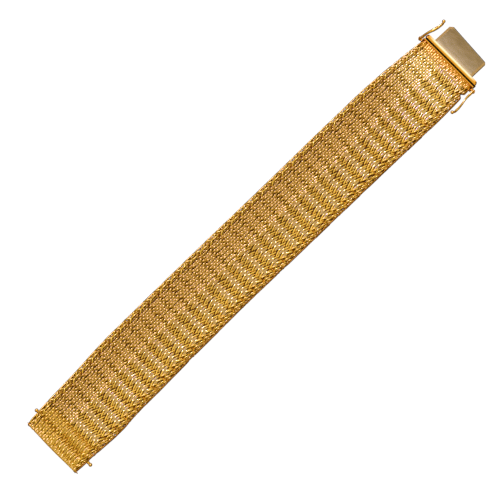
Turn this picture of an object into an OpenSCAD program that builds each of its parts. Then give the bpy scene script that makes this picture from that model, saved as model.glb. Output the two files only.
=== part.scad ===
// Woven strap bracelet with a box clasp and two safety latches, lying flat and open.
// X runs along the strap to the tongue, Y to its left edge and Z up, in millimetres.
// The origin is on the table, under the middle of the whole bracelet.

/* [Whole] */
// Length from the end plate of the box to the farthest corner of the tongue
overall_len = 186.7; // [180:0.1:195]

/* [Strap] */
// Thickness of the weave at the top of a rib
strap_t = 2.0; // [1.6:0.1:2.2]
// Number of cross ribs between the end plate and the cap
rib_count = 39; // [30:1:45]
// Depth of the groove between two ribs
rib_depth = 0.45; // [0.1:0.05:0.6]
// Width of the braided border along each side
border_w = 2.6; // [1.8:0.1:3]
// Height of the border above the ribs
border_rise = 0.1; // [0:0.05:0.2]
// How far the border bulges out at each rib
border_bulge = 0.15; // [0:0.05:0.3]
// Length over which the strap sinks to the table beside each metal end
slope_len = 8; // [6:0.5:12]
// Length over which the strap bends sideways towards the turned cap
bend_len = 30; // [20:1:40]

/* [Catch box] */
// Length of the box inside the strap
box_len = 9.0; // [8.6:0.1:9.5]
// Half of the width of the box
box_half_w = 9.05; // [8.95:0.05:9.3]
// Height of the box
box_h = 2.5; // [2.4:0.05:2.6]
// Thickness of the sheet that the box is folded from
sheet_t = 0.3; // [0.25:0.05:0.35]
// Thickness of the end plate round the mouth
plate_t = 0.65; // [0.5:0.05:0.8]
// Half of the width of the end plate
plate_half_w = 11.1; // [10.9:0.05:11.3]
// Height of the end plate
plate_h = 3.45; // [3.4:0.05:3.6]
// Diameter of a peg's shaft
peg_d = 1.0; // [0.8:0.05:1.1]
// Diameter of the ball on a peg's end
peg_ball_d = 1.24; // [1.15:0.02:1.34]
// Distance of a peg ball's centre from the middle of the bracelet
peg_reach = 12.05; // [11.9:0.05:12.2]

/* [End cap] */
// Thickness of the cap along the strap
cap_t = 1.6; // [1.5:0.05:1.8]
// Half of the width of the cap
cap_half_w = 11.3; // [11.2:0.05:11.4]
// Height of the cap
cap_h = 3.1; // [3:0.05:3.3]
// How far the end of the strap is let into the cap
cap_seat = 0.7; // [0.4:0.05:0.8]
// Thickness of the cap's foot, which closes the groove in front of it from below
foot_t = 0.3; // [0.2:0.05:0.35]
// Angle by which the cap, with all that it carries, lies turned to the right
clasp_turn = 1.2; // [0:0.1:1.4]

/* [Tongue] */
// Width of the spring leaf
leaf_w = 16.8; // [15:0.1:17]
// Thickness of the spring leaf
leaf_t = 0.4; // [0.3:0.05:0.45]
// Outer radius of the fold at the tip
fold_r = 0.8; // [0.7:0.05:0.85]
// Angle at which the upper leaf springs open
leaf_open = 1.8; // [1:0.1:2]
// Length of the leaf in front of the thumb bar, along its middle
leaf_reach = 7.4; // [7:0.05:7.6]
// Angle by which the fold at the tip runs askew, farther out on the left
tip_skew = 3.6; // [0:0.1:4]
// Size of the cut-off left corner at the tip
corner_cut = 1.2; // [0.5:0.1:1.5]
// Size of the cut-off right corner at the tip
small_cut = 0.6; // [0.3:0.1:1.2]
// Open groove between the cap and the thumb bar
groove_w = 0.7; // [0.5:0.05:1]
// Thickness of the thumb bar along the strap
bar_t = 1.1; // [1:0.05:1.3]
// Half of the length of the thumb bar
bar_half_w = 11.25; // [10:0.05:11.3]

/* [Safety latches] */
// Diameter of the latch wire and of its hinge pin
wire_d = 0.5; // [0.4:0.02:0.5]
// Running clearance of the pin in its tube, on the radius
pin_gap = 0.05; // [0.03:0.01:0.08]
// Outer diameter of the hinge tube
tube_d = 1.2; // [1.1:0.05:1.3]
// Length of the hinge tube
tube_len = 1.2; // [1:0.05:1.3]
// Diameter of the knob at each end of the pin
knob_d = 0.76; // [0.7:0.02:0.8]
// Distance of each hinge axis from the middle of the bracelet
hinge_y = 12.15; // [12.1:0.05:12.3]
// Radius of the wire's centreline round the eye
eye_r = 0.97; // [0.95:0.01:1]
// How far the eye lies inwards of the hinge
eye_in = 0.75; // [0.5:0.05:0.8]
// Distance from the hinge to the centre of the end ball
latch_len = 9.6; // [9.5:0.1:9.9]
// Diameter of the end ball
latch_ball_d = 1.2; // [1:0.05:1.3]
// Angle at which the left latch lies, inwards of straight ahead
left_lean = 5; // [0:1:7]

/* [Hidden] */

$fn = 32;
gap = 0.05;
sink = 0.1;
gold = [0.80, 0.60, 0.22];
bright_gold = [0.93, 0.70, 0.25];
pale_gold = [0.70, 0.61, 0.42];

// Places along the bracelet
plate_x = -overall_len / 2;
box_x = plate_x + plate_t;
box_end_x = box_x + box_len;
tip_x = overall_len / 2 - (leaf_w / 2 - corner_cut) * tan(tip_skew)
    + (hinge_y - leaf_w / 2 + corner_cut) * sin(clasp_turn);
bar_x = tip_x - leaf_reach - bar_t;
cap_face_x = bar_x - groove_w;
cap_x = cap_face_x - cap_t;
hinge_x = cap_x + 0.6;
strap_x = box_x + gap;
strap_end_x = cap_x + cap_seat - gap;
rib_pitch = (strap_end_x - strap_x) / rib_count;
peg_x = strap_x + rib_pitch;

// Heights above the table
box_rise = plate_h - gap - strap_t;
cap_rise = cap_h - 0.4 - strap_t;
mid_z = 1.6;
leaf_z = 0.45;
fold_z = leaf_z + fold_r;
fold_x = tip_x - fold_r;
leaf_top = fold_z + fold_r;

// The strap's outline from above, with a row for each place where its edges turn:
// place along X, left edge, right edge
EDGES = [
    [-93, 11.0, -10.9],
    [-85, 11.6, -11.0],
    [-77, 12.1, -11.5],
    [-73, 12.2, -11.5],
    [-66, 12.7, -10.7],
    [-58, 13.3, -10.8],
    [-40, 13.5, -10.4],
    [-15, 13.5, -10.2],
    [8, 13.4, -10.5],
    [40, 13.4, -10.8],
    [58, 13.3, -11.1],
    [69, 12.8, -11.3],
    [76, 12.0, -11.2],
    [81, 11.3, -11.0],
    [84, 11.0, -10.9]
];
LEFT = [for (row = EDGES) [row[0], row[1]]];
RIGHT = [for (row = EDGES) [row[0], row[2]]];

// Height of a rib at each fraction of its width, from one groove to the next:
// fraction of the pitch, fraction of the height
RIB = [
    [0.00, 0.00],
    [0.14, 0.62],
    [0.36, 0.97],
    [0.64, 0.97],
    [0.86, 0.62]
];

function ease(u) = let (v = min(max(u, 0), 1)) v * v * (3 - 2 * v);
function smooth_edge(x, table) =
    (lookup(x - 3, table) + 2 * lookup(x, table) + lookup(x + 3, table)) / 4;
function underside(x) =
    box_rise * ease((box_end_x + slope_len - x) / slope_len)
    + cap_rise * ease((x - cap_x + slope_len) / slope_len);
function in_box(x) = x < box_end_x + 0.2 * rib_pitch;
function at_peg(x) = abs(x - peg_x) < 0.25 * rib_pitch;

// Points of the strap, moved along it as far as the bend towards the cap asks
function bent(points) = [
    for (p = points)
        let (near_cap = ease(1 - (strap_end_x - p[0]) / bend_len))
            [p[0] + tan(clasp_turn) * near_cap * (p[1] - hinge_y), p[1], p[2]]
];

// One cross-section of the strap, from its lower left corner round by the right.
// Over the box it is an arch, and elsewhere its underside is flat.
function section(x, rib) =
    let (
        low = underside(x),
        high = low + strap_t,
        left = smooth_edge(x, LEFT) - border_bulge * (1 - rib),
        right = smooth_edge(x, RIGHT) + border_bulge * (1 - rib),
        pocket = in_box(x),
        foot = pocket ? (at_peg(x) ? mid_z + peg_d / 2 + sink : sink) : low,
        roof = pocket ? box_h + gap : low,
        wall = box_half_w + 2 * gap,
        belly = (foot + high) / 2,
        shoulder = high - 0.25 * strap_t,
        field = high - border_rise - rib_depth * (1 - rib),
        crest = high - 0.3 * rib_depth * (1 - rib),
        inner_left = left - border_w,
        inner_right = right + border_w
    )
    [
        [x, left - 0.4, foot],
        [x, wall, foot],
        [x, wall - sink, roof],
        [x, sink - wall, roof],
        [x, -wall, foot],
        [x, right + 0.4, foot],
        [x, right, belly],
        [x, right + 0.35, shoulder],
        [x, right + border_w / 2, crest],
        [x, inner_right, field],
        [x, inner_left, field],
        [x, left - border_w / 2, crest],
        [x, left - 0.35, shoulder],
        [x, left, belly]
    ];

// How the two ends of the strap are closed: triangles between the points of a section
STRAP_END = [
    [0, 1, 13], [1, 12, 13], [1, 2, 12], [2, 11, 12], [2, 10, 11], [2, 3, 10],
    [3, 9, 10], [3, 8, 9], [3, 7, 8], [3, 4, 7], [4, 6, 7], [4, 5, 6]
];

// A closed solid through rings of equal length, in the order of travel.
// Seen from the last ring, each ring runs clockwise.
module loft(rings, end_faces) {
    n = len(rings[0]);
    last = len(rings) - 1;
    points = [for (ring = rings) each ring];
    sides = [
        for (i = [0:last - 1])
            for (j = [0:n - 1])
                let (a = i * n + j, b = i * n + (j + 1) % n)
                    each [[a, b, b + n], [a, b + n, a + n]]
    ];
    start = [for (face = end_faces) [face[2], face[1], face[0]]];
    end = [for (face = end_faces) [for (j = face) last * n + j]];
    polyhedron(points, concat(start, sides, end), convexity = 10);
}

module mesh_band() {
    color(gold)
        loft(concat(
            [
                for (i = [0:rib_count - 1])
                    for (row = RIB)
                        bent(section(strap_x + (i + row[0]) * rib_pitch, row[1]))
            ],
            [bent(section(strap_end_x, 0))]
        ), STRAP_END);
}

// The cap and all that it carries, turned about the left hinge
module at_clasp() {
    translate([hinge_x, hinge_y, 0])
        rotate(-clasp_turn)
            translate([-hinge_x, -hinge_y, 0])
                children();
}

// A slab from x0 to x1, evenly about the middle of the bracelet
module slab(x0, x1, half_w, z0, z1) {
    translate([x0, -half_w, z0])
        cube([x1 - x0, 2 * half_w, z1 - z0]);
}

module peg() {
    translate([peg_x, box_half_w - sheet_t / 2, mid_z])
        rotate([-90, 0, 0])
            cylinder(d = peg_d, h = peg_reach - box_half_w + sheet_t / 2);
    translate([peg_x, peg_reach, mid_z])
        sphere(d = peg_ball_d);
}

module catch_box() {
    lip = 0.2;
    color(bright_gold) {
        difference() {
            union() {
                slab(plate_x, box_x, plate_half_w, 0, plate_h);
                slab(box_x - sink, box_end_x, box_half_w, 0, box_h);
            }
            slab(plate_x - 1, box_x, box_half_w - sheet_t, sheet_t, box_h - sheet_t - lip);
            slab(box_x - sink, box_end_x - sheet_t, box_half_w - sheet_t, sheet_t, box_h - sheet_t);
        }
        peg();
        mirror([0, 1, 0]) peg();
    }
}

module hinge_tube() {
    difference() {
        union() {
            translate([hinge_x, hinge_y, mid_z - tube_len / 2])
                cylinder(d = tube_d, h = tube_len);
            translate([hinge_x - tube_d / 4, cap_half_w - sink, mid_z - tube_len / 2])
                cube([tube_d / 2, hinge_y - cap_half_w + sink, tube_len]);
        }
        translate([hinge_x, hinge_y, 0])
            cylinder(r = wire_d / 2 + pin_gap, h = cap_h);
    }
}

module end_cap() {
    color(bright_gold) at_clasp() {
        difference() {
            union() {
                slab(cap_x, cap_face_x, cap_half_w, 0, cap_h);
                slab(cap_face_x - sink, bar_x + bar_t / 2, cap_half_w, 0, foot_t);
            }
            slab(cap_x - 1, cap_x + cap_seat, cap_half_w - 0.15, cap_rise - sink, cap_rise + strap_t + sink);
            slab(cap_face_x - leaf_t, cap_face_x + 1, leaf_w / 2 + gap, leaf_z - gap, leaf_z + leaf_t + gap);
        }
        hinge_tube();
        mirror([0, 1, 0]) hinge_tube();
    }
}

// The folded leaf from the side, with both ends longer than they are in the cap and bar
module leaf_side() {
    overlap = 0.02;
    translate([cap_x, leaf_z])
        square([fold_x - cap_x + overlap, leaf_t]);
    translate([fold_x, fold_z]) {
        difference() {
            circle(r = fold_r);
            circle(r = fold_r - leaf_t);
            rotate(-leaf_open)
                translate([-2, 0])
                    square([2, 2]);
            translate([-2, -2])
                square([2, 2.2]);
        }
        rotate(-leaf_open)
            translate([cap_x - fold_x, fold_r - leaf_t])
                square([fold_x - cap_x + overlap, leaf_t]);
    }
}

// The tongue's outline from above
module leaf_plan() {
    root_x = cap_face_x - leaf_t + gap;
    skew = leaf_w / 2 * tan(tip_skew);
    polygon([
        [root_x, -leaf_w / 2],
        [tip_x - skew - small_cut, -leaf_w / 2],
        [tip_x - skew + 1, 1 + small_cut - leaf_w / 2],
        [tip_x + skew + 1, leaf_w / 2 - corner_cut - 1],
        [tip_x + skew - corner_cut, leaf_w / 2],
        [root_x, leaf_w / 2]
    ]);
}

module tongue() {
    color(pale_gold)
        at_clasp()
            difference() {
                intersection() {
                    linear_extrude(cap_h)
                        leaf_plan();
                    translate([fold_x, 0, 0])
                        rotate(-tip_skew)
                            translate([-fold_x, leaf_w, 0])
                                rotate([90, 0, 0])
                                    linear_extrude(2 * leaf_w)
                                        leaf_side();
                }
                slab(cap_x, bar_x + gap, leaf_w, fold_z, cap_h);
            }
}

module thumb_bar() {
    slot_z = leaf_top + (fold_x - bar_x) * tan(leaf_open) - leaf_t - 2 * gap;
    color(bright_gold)
        at_clasp()
            translate([bar_x, bar_half_w, 0])
                rotate([90, 0, 0])
                    difference() {
                        linear_extrude(2 * bar_half_w)
                            union() {
                                translate([0, slot_z - 0.25])
                                    square([bar_t, cap_h - bar_t / 2 - slot_z + 0.25]);
                                translate([bar_t / 2, cap_h - bar_t / 2])
                                    circle(d = bar_t);
                            }
                        translate([-1, slot_z, bar_half_w - leaf_w / 2 - gap])
                            cube([bar_t + 2, leaf_t + 3 * gap, leaf_w + 2 * gap]);
                    }
}

// The latch wire's half opening in height along its length:
// distance from the hinge, half opening
LATCH_WIRE = [
    [0.0, 1.04],
    [0.8, 1.04],
    [1.8, 0.92],
    [2.8, 0.60],
    [3.8, 0.38],
    [4.6, 0.33],
    [5.4, 0.38],
    [6.2, 0.58],
    [7.0, 0.84]
];

function lean_in(u) = eye_in * ease((u - 2) / (latch_len - 4));
function wire_point(u, h) = [u, -lean_in(u), mid_z + h];

// A round tube along a path in an upright plane that leans little from X
module wire(path) {
    n = 10;
    last = len(path) - 1;
    rings = [
        for (i = [0:last])
            let (
                ahead = path[min(i + 1, last)] - path[max(i - 1, 0)],
                t = ahead / norm(ahead),
                side = [t[1] * t[0], -1 + t[1] * t[1], t[1] * t[2]],
                across = side / norm(side),
                up = cross(t, across)
            )
            [
                for (k = [0:n - 1])
                    path[i] + wire_d / 2 * (cos(k * 360 / n) * across - sin(k * 360 / n) * up)
            ]
    ];
    loft(rings, [for (k = [1:n - 2]) [0, k, k + 1]]);
}

// A latch that points along X from its hinge axis and leans to the right
module latch() {
    eye_u = latch_len - 1.5;
    top = [for (row = LATCH_WIRE) wire_point(row[0], row[1])];
    eye = [
        for (a = [110:-20:-110])
            wire_point(eye_u + eye_r * cos(a), eye_r * sin(a))
    ];
    bottom = [for (i = [len(LATCH_WIRE) - 1:-1:0]) wire_point(LATCH_WIRE[i][0], -LATCH_WIRE[i][1])];
    color(gold) {
        wire(concat(top, eye, bottom));
        knob_z = LATCH_WIRE[0][1];
        translate([0, 0, mid_z - knob_z])
            cylinder(d = wire_d, h = 2 * knob_z);
        for (z = [mid_z - knob_z, mid_z + knob_z])
            translate([0, 0, z])
                sphere(d = knob_d);
        ball_y = -lean_in(eye_u) + 0.45;
        neck = [latch_len - eye_u - eye_r, 0.45, 0];
        translate([eye_u + eye_r, -lean_in(eye_u), mid_z])
            rotate([0, 90, atan2(neck[1], neck[0])])
                cylinder(d = wire_d + 0.1, h = norm(neck));
        translate([latch_len, ball_y, mid_z])
            sphere(d = latch_ball_d);
    }
}

module latch_left() {
    at_clasp()
        translate([hinge_x, hinge_y, 0])
            rotate(-left_lean)
                latch();
}

module latch_right() {
    at_clasp()
        translate([hinge_x, -hinge_y, 0])
            rotate(180)
                mirror([0, 1, 0])
                    latch();
}

mesh_band();
catch_box();
end_cap();
tongue();
thumb_bar();
latch_left();
latch_right();
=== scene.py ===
# %% [markdown]
# Gold bracelet: a strap woven from wire, with a box clasp and two safety latches.
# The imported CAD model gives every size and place. This lesson dresses it: the solid
# strap becomes real wire coils, and the sheet metal gets folds, bevels and finishes.

# %% Load the frame
import bpy
import bmesh
import math
import numpy as np
from mathutils import Matrix, Vector


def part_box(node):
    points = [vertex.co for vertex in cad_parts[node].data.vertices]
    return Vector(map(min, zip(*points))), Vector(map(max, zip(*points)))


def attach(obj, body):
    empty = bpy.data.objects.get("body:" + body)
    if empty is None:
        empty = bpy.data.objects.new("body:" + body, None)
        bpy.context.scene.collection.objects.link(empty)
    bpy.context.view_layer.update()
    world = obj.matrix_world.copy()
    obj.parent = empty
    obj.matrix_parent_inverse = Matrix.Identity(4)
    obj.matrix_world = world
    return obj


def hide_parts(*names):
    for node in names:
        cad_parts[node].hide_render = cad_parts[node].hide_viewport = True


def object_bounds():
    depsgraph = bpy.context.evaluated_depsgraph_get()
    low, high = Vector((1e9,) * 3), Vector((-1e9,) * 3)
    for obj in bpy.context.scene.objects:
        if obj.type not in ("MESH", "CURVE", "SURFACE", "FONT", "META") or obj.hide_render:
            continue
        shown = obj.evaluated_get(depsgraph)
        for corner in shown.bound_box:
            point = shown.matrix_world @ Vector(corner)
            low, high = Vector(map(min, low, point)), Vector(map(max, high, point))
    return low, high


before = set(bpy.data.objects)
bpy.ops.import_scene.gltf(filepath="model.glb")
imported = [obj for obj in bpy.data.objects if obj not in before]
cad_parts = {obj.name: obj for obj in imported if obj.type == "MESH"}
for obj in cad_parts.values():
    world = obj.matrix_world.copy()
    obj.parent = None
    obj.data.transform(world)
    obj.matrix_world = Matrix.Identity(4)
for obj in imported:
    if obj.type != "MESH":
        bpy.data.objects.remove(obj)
cad_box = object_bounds()
MM = 0.001


def cad(node):
    """Lowest and highest corner of a CAD node, in millimetres."""
    low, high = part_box(node)
    return low / MM, high / MM


print("bracelet, mm:", [round(v / MM, 2) for v in cad_box[1] - cad_box[0]])

# %% [markdown]
# Every piece is made the same way: deselect all, add a primitive, shape it in edit mode
# and store it under its own name. These few helpers keep each later cell short. They
# work in millimetres, and `finish_piece` puts the place and the scale into the mesh.

# %% Helpers for modelling


def deselect():
    if bpy.context.mode != "OBJECT":
        bpy.ops.object.mode_set(mode="OBJECT")
    bpy.ops.object.select_all(action="DESELECT")


def activate(obj):
    deselect()
    obj.select_set(True)
    bpy.context.view_layer.objects.active = obj
    return obj


def block(x0, x1, y0, y1, z0, z1):
    """A box between three pairs of places, in millimetres."""
    deselect()
    bpy.ops.mesh.primitive_cube_add(size=1)
    obj = bpy.context.object
    obj.scale = (x1 - x0, y1 - y0, z1 - z0)
    obj.location = ((x0 + x1) / 2, (y0 + y1) / 2, (z0 + z1) / 2)
    bpy.ops.object.transform_apply(location=True, rotation=True, scale=True)
    return obj


def pick(obj, kind, wanted):
    """In edit mode, select the faces or edges for which wanted(element) is true."""
    activate(obj)
    bpy.ops.object.mode_set(mode="EDIT")
    bpy.ops.mesh.select_mode(type=kind)
    bpy.ops.mesh.select_all(action="DESELECT")
    mesh = bmesh.from_edit_mesh(obj.data)
    elements = mesh.faces if kind == "FACE" else mesh.edges
    for element in elements:
        if wanted(element):
            element.select_set(True)
    bmesh.update_edit_mesh(obj.data)


def face_outwards(obj):
    """Turn every face of a closed mesh outwards."""
    pick(obj, "FACE", lambda face: True)
    bpy.ops.mesh.normals_make_consistent(inside=False)
    deselect()
    return obj


def from_points(corners, edges=(), faces=()):
    """A new object from corners and the edges or faces between them."""
    mesh = bpy.data.meshes.new("new")
    mesh.from_pydata(corners, edges, faces)
    obj = bpy.data.objects.new("new", mesh)
    bpy.context.scene.collection.objects.link(obj)
    return obj


def middle(edge):
    """The middle of an edge."""
    return (edge.verts[0].co + edge.verts[1].co) / 2


def bevel(obj, width, segments=3, angle=40):
    """Round every sharp edge with a Bevel modifier that is applied at once."""
    activate(obj)
    modifier = obj.modifiers.new("bevel", "BEVEL")
    modifier.width = width
    modifier.segments = segments
    modifier.limit_method = "ANGLE"
    modifier.angle_limit = math.radians(angle)
    bpy.ops.object.modifier_apply(modifier=modifier.name)
    return obj


def cut(obj, tool):
    """Cut the tool out of obj and throw the tool away."""
    activate(obj)
    modifier = obj.modifiers.new("cut", "BOOLEAN")
    modifier.operation = "DIFFERENCE"
    modifier.solver = "EXACT"
    modifier.object = tool
    bpy.ops.object.modifier_apply(modifier=modifier.name)
    bpy.data.objects.remove(tool)
    return obj


def join(objects):
    """Join objects into one mesh."""
    deselect()
    for obj in objects:
        obj.select_set(True)
    bpy.context.view_layer.objects.active = objects[0]
    bpy.ops.object.join()
    return bpy.context.object


def turned(profile, at=(0, 0, 0), towards=(0, 0, 1), sides=20, closed=False):
    """Spin a profile of (radius, place along the axis) into a round part."""
    corners = [(radius, 0, along) for radius, along in profile]
    edges = [(i, i + 1) for i in range(len(corners) - 1)]
    if closed:
        edges.append((len(corners) - 1, 0))
    obj = from_points(corners, edges)
    activate(obj)
    bpy.ops.object.mode_set(mode="EDIT")
    bpy.ops.mesh.select_all(action="SELECT")
    bpy.ops.mesh.spin(steps=sides, angle=2 * math.pi, center=(0, 0, 0), axis=(0, 0, 1))
    bpy.ops.mesh.select_all(action="SELECT")
    bpy.ops.mesh.remove_doubles(threshold=0.001)
    bpy.ops.mesh.normals_make_consistent(inside=False)
    deselect()
    turn = Vector(towards).to_track_quat("Z", "Y").to_matrix().to_4x4()
    obj.data.transform(Matrix.Translation(at) @ turn)
    return obj


def ball(radius, centre, start=-90, end=90, steps=8):
    """Profile points of a ball on the axis, between two latitudes."""
    angles = [math.radians(start + (end - start) * i / steps) for i in range(steps + 1)]
    return [
        (max(radius * math.cos(a), 0 if abs(abs(a) - math.pi / 2) < 0.01 else 0.01),
         centre + radius * math.sin(a))
        for a in angles
    ]


def finish_piece(obj, name, material, body, nodes=(), smooth_angle=35):
    """Scale to metres, name, shade, paint and hand a piece to its body. Weighted normals
    keep the flat faces of bevelled metal flat in the light."""
    activate(obj)
    obj.scale = (MM, MM, MM)
    bpy.ops.object.transform_apply(location=True, rotation=True, scale=True)
    bpy.ops.object.shade_smooth_by_angle(angle=math.radians(smooth_angle))
    if smooth_angle < 60:
        modifier = obj.modifiers.new("flats", "WEIGHTED_NORMAL")
        modifier.keep_sharp = True
        bpy.ops.object.modifier_apply(modifier=modifier.name)
    obj.name = name
    obj.data.name = name
    obj.data.materials.clear()
    obj.data.materials.append(material)
    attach(obj, body)
    if nodes:
        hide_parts(*nodes)
    obj.data.calc_loop_triangles()
    print(name, len(obj.data.loop_triangles), "triangles")
    return obj


# %% [markdown]
# Shader maths reads best as plain arithmetic. `Signal` wraps one output socket and turns
# + - and * into Math nodes. `Finish` starts a material and adds any other node by its
# type, its settings and its inputs.

# %% Helpers for shading


def linear(red, green, blue):
    """A display colour of 0 to 255 as the linear colour that a shader needs."""
    def channel(value):
        value /= 255
        return value / 12.92 if value <= 0.04045 else ((value + 0.055) / 1.055) ** 2.4
    return (channel(red), channel(green), channel(blue), 1)


def plug(socket, value):
    """Link a Signal to an input socket, or set a plain value on it."""
    if isinstance(value, Signal):
        socket.id_data.links.new(value.socket, socket)
    else:
        socket.default_value = value


class Signal:
    """An output socket that can be added, subtracted and multiplied."""

    def __init__(self, socket):
        self.socket = socket

    def math(self, operation, first, second):
        node = self.socket.id_data.nodes.new("ShaderNodeMath")
        node.operation = operation
        plug(node.inputs[0], first)
        plug(node.inputs[1], second)
        return Signal(node.outputs[0])

    def __add__(self, other):
        return self.math("ADD", self, other)

    def __sub__(self, other):
        return self.math("SUBTRACT", self, other)

    def __rsub__(self, other):
        return self.math("SUBTRACT", other, self)

    def __mul__(self, other):
        return self.math("MULTIPLY", self, other)

    __radd__ = __add__
    __rmul__ = __mul__


class Finish:
    """A new material and the nodes that feed its shader."""

    def __init__(self, name):
        self.material = bpy.data.materials.new(name)
        self.material.use_nodes = True
        self.tree = self.material.node_tree
        self.shader = self.tree.nodes["Principled BSDF"]

    def node(self, kind, settings=None, inputs=None, output=0):
        """A node of a kind, its settings set first and then its inputs."""
        node = self.tree.nodes.new(kind)
        for name, value in (settings or {}).items():
            setattr(node, name, value)
        for name, value in (inputs or {}).items():
            plug(node.inputs[name], value)
        return Signal(node.outputs[output])

    def blend(self, factor, first, second):
        """A colour between two colours."""
        return self.node(
            "ShaderNodeMix", {"data_type": "RGBA"}, {0: factor, 6: first, 7: second}, output=2
        )

    def place(self, scale=(1, 1, 1)):
        """Object coordinates in millimetres, stretched by a scale."""
        coordinates = self.node("ShaderNodeTexCoord", output=3)
        return self.node(
            "ShaderNodeMapping", {}, {"Vector": coordinates, "Scale": [v / MM for v in scale]}
        )

    def where(self, axis):
        """One Object coordinate, in millimetres."""
        return self.node("ShaderNodeSeparateXYZ", {}, {"Vector": self.place()}, output=axis)

    def ramp(self, value, start, end):
        """0 before the start, 1 past the end, with a soft step between them, either way."""
        return self.node(
            "ShaderNodeMapRange", {"interpolation_type": "SMOOTHSTEP"},
            {"Value": value, "From Min": start, "From Max": end},
        )

    def noise(self, scale=(1, 1, 1), detail=2.0):
        """Soft random blotches, so many to the millimetre along each axis."""
        return self.node(
            "ShaderNodeTexNoise", {}, {"Vector": self.place(scale), "Scale": 1.0, "Detail": detail}
        )

    def bump(self, height, depth):
        """A relief of a depth in millimetres, for the Normal input."""
        return self.node(
            "ShaderNodeBump", {}, {"Height": height, "Strength": 1.0, "Distance": depth * MM}
        )

    def set(self, **values):
        """Plug values into the shader's inputs of these names."""
        for name, value in values.items():
            plug(self.shader.inputs[name.replace("_", " ")], value)
        return self.material


# %% [markdown]
# The cap at the right end, with all that it carries, lies turned by a little more than a
# degree. Its pieces are modelled straight and then turned about the left hinge, and the
# ribs of the strap drift and lean on their way to it, as in any soft strap laid down.

# %% How the clasp end lies
HINGE_X, HINGE_Y = 82.8, 12.15
CLASP_TURN = math.radians(1.2)
# Outer face of the cap, inner and outer face of the thumb bar, with the groove between
CAP_FACE, BAR_X, BAR_END = 83.7, 84.3, 85.65
AT_CLASP = (
    Matrix.Translation((HINGE_X, HINGE_Y, 0)) @ Matrix.Rotation(-CLASP_TURN, 4, "Z")
    @ Matrix.Translation((-HINGE_X, -HINGE_Y, 0))
)
# Place along the strap, drift of the ribs at the middle, lean to the right as a slope.
# The last row is the clasp's own turn.
DRIFT = np.array([
    (-93.0, 0.0, 0.0), (-77.0, -0.05, 0.0), (-58.0, -0.8, 0.0), (-39.0, -1.45, 0.0),
    (-20.0, -1.8, 0.0), (10.0, -1.85, 0.015), (38.0, -1.5, 0.035), (57.0, -1.25, 0.037),
    (67.0, -1.0, 0.035), (77.0, -0.5, 0.028), (82.8, -0.254, 0.021),
])


def drifted(x, y):
    """Where a place on an evenly ribbed strap has drifted to along X."""
    drift = np.interp(x, DRIFT[:, 0], DRIFT[:, 1])
    return x + drift + np.interp(x, DRIFT[:, 0], DRIFT[:, 2]) * y


def at_clasp(obj):
    """Turn a piece that was modelled straight to the way the clasp lies."""
    obj.data.transform(AT_CLASP)
    return obj


def clasp_place(finish):
    """For a finish: places along and across the clasp as they were before its turn."""
    lean = math.sin(CLASP_TURN)
    along = finish.where(0) - lean * finish.where(1) + lean * HINGE_Y
    across = finish.where(1) + lean * finish.where(0) - lean * HINGE_X
    return along, across


# %% [markdown]
# The strap is woven from round gold wire. Drawn gold wire is nearly smooth, so it takes a
# low roughness. The deeper turns are painted browner as shade, so each wire carries its
# depth in the weave as an attribute, and its thickness as another, because it is duller
# where it is pressed flat. The left side is painted browner as shade, the ribs before the
# clasp are painted brighter as light, and the turns inside the cap are painted dark orange
# as shade. Over the box the weave is pulled flat and worn dull, so it gets a rougher finish.

# %% Woven gold
# Each pair is where a change begins and where it is complete
SHADED_LEFT = (-5.0, 8.0)
SHADED_UNTIL_CLASP = (80, 60)
BRIGHT_FROM, BRIGHT_UNTIL = (60, 74), (78, 81)
SHADE_IN_CAP = (79.5, 82.0)


def woven_gold(name, rough, left_shade_strength, deep_painted_shade, pressed, darker, lighter):
    """Gold wire of two tones, with a tone for deep and one for pressed places."""
    finish = Finish(name)
    colour = finish.blend(finish.noise((0.35, 0.35, 0.35), 3.0), darker, lighter)
    depth = finish.node("ShaderNodeAttribute", {"attribute_name": "depth"}, output=2)
    thick = finish.node("ShaderNodeAttribute", {"attribute_name": "thick"}, output=2)
    colour = finish.blend(finish.ramp(thick, 0.95, 0.5), colour, pressed)
    # Painted light: the ribs before the clasp get a lighter yellow tone.
    painted_light_near_clasp = finish.ramp(finish.where(0), *BRIGHT_FROM)
    painted_light_near_clasp = painted_light_near_clasp - finish.ramp(finish.where(0), *BRIGHT_UNTIL)
    colour = finish.blend(0.3 * painted_light_near_clasp, colour, (1.0, 0.80, 0.34, 1))
    # Painted shade: deeper places of the wire get a darker brown tone.
    colour = finish.blend(finish.ramp(depth, -0.3, 0.25), deep_painted_shade, colour)
    # Painted shade: the left side gets a browner tone, which fades out before the clasp.
    painted_shade_left = finish.ramp(finish.where(1), *SHADED_LEFT)
    painted_shade_left = left_shade_strength * painted_shade_left * finish.ramp(finish.where(0), *SHADED_UNTIL_CLASP)
    colour = finish.blend(painted_shade_left, colour, (0.43, 0.23, 0.04, 1))
    # Painted shade: the turns inside the cap get a dark orange tone.
    painted_shade_in_cap = finish.ramp(finish.where(0), *SHADE_IN_CAP)
    colour = finish.blend(0.85 * painted_shade_in_cap, colour, (0.56, 0.26, 0.01, 1))
    rough = rough + 0.04 * painted_shade_left + 0.08 * finish.noise((1.6, 1.6, 1.6))
    return finish.set(Base_Color=colour, Metallic=1.0, Roughness=rough)


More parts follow.
